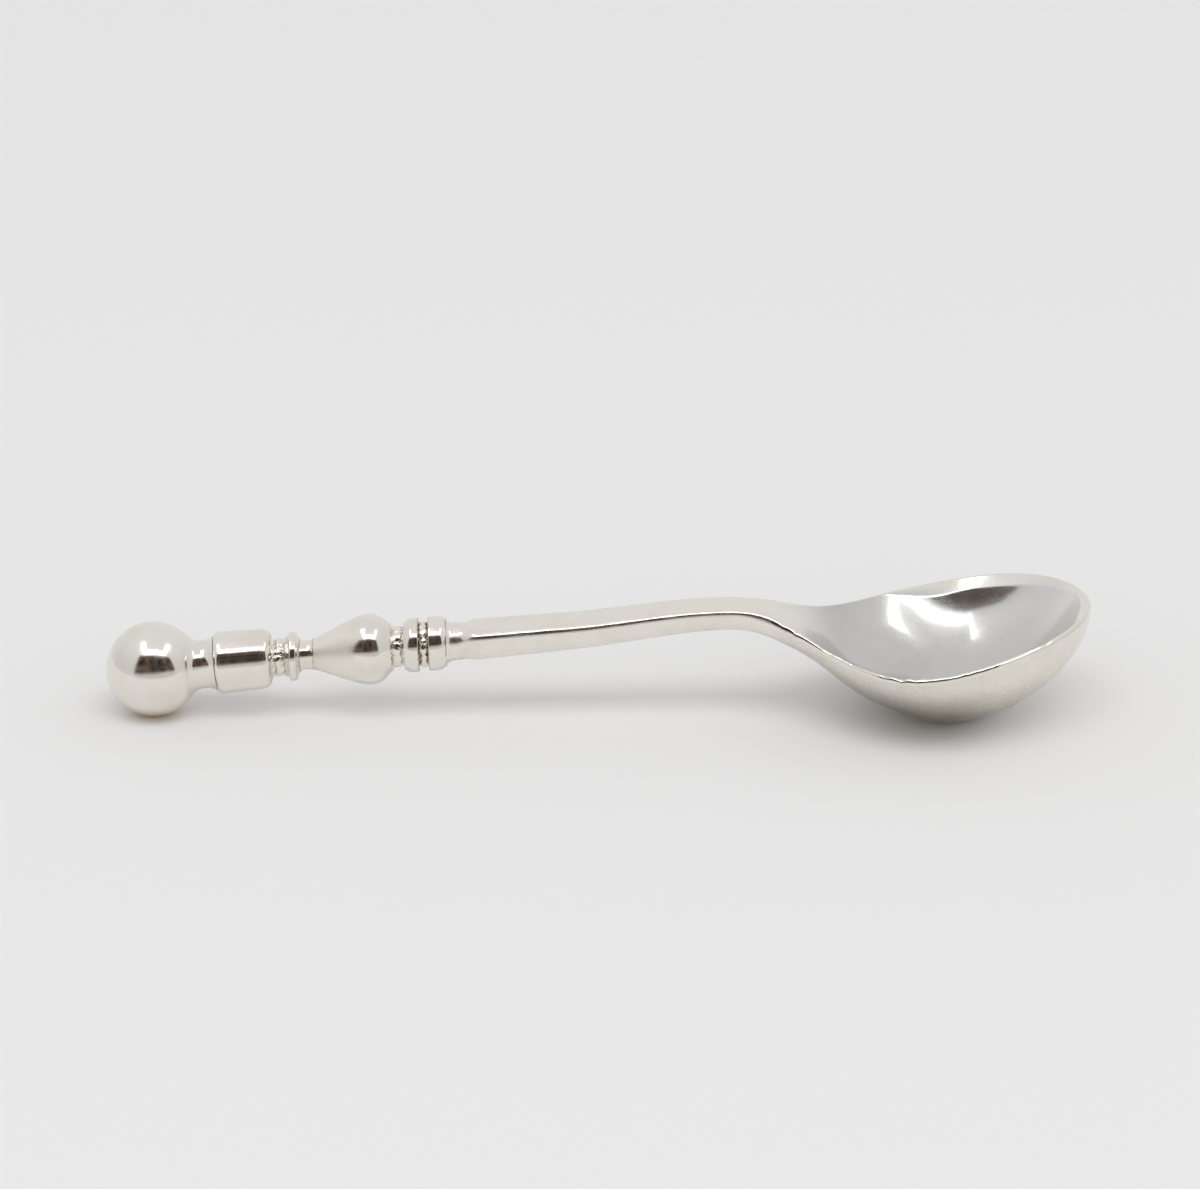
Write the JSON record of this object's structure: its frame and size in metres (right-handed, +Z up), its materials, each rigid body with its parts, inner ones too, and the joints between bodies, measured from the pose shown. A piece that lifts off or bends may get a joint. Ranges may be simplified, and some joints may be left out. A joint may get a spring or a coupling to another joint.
{
  "type": "condiment spoon",
  "caption": "Small silver condiment spoon with a deep fig-shaped bowl, a bowed rectangular stem and a handle of turned members ending in a ball finial.",
  "frame": {"origin": "on the table under the middle of the spoon's length, as it lies at rest on its ball and its bowl", "axes": "+X from the ball finial to the bowl's tip, +Y across the bowl, +Z up out of the open bowl"},
  "size_m": [0.0796, 0.0202, 0.0099],
  "materials": {
    "polished_silver": "hand polished, lightly worn",
    "granular_silver": "unpolished and darkened in the recess",
    "stem_silver": "soft satin with polished edges",
    "bowl_silver": "mirror inside, satin with hairline scratches outside"
  },
  "bodies": {
    "root": {"ball_finial": "polished_silver", "finial_neck": "polished_silver", "barrel": "polished_silver", "barrel_spool": "granular_silver", "disc": "polished_silver", "throat": "polished_silver", "cone_knop": "polished_silver", "knop_neck": "granular_silver", "knop_collar": "polished_silver", "beaded_ring": "granular_silver", "stem_collar": "polished_silver", "stem": "stem_silver", "bowl": "bowl_silver"}
  },
  "joints": []
}
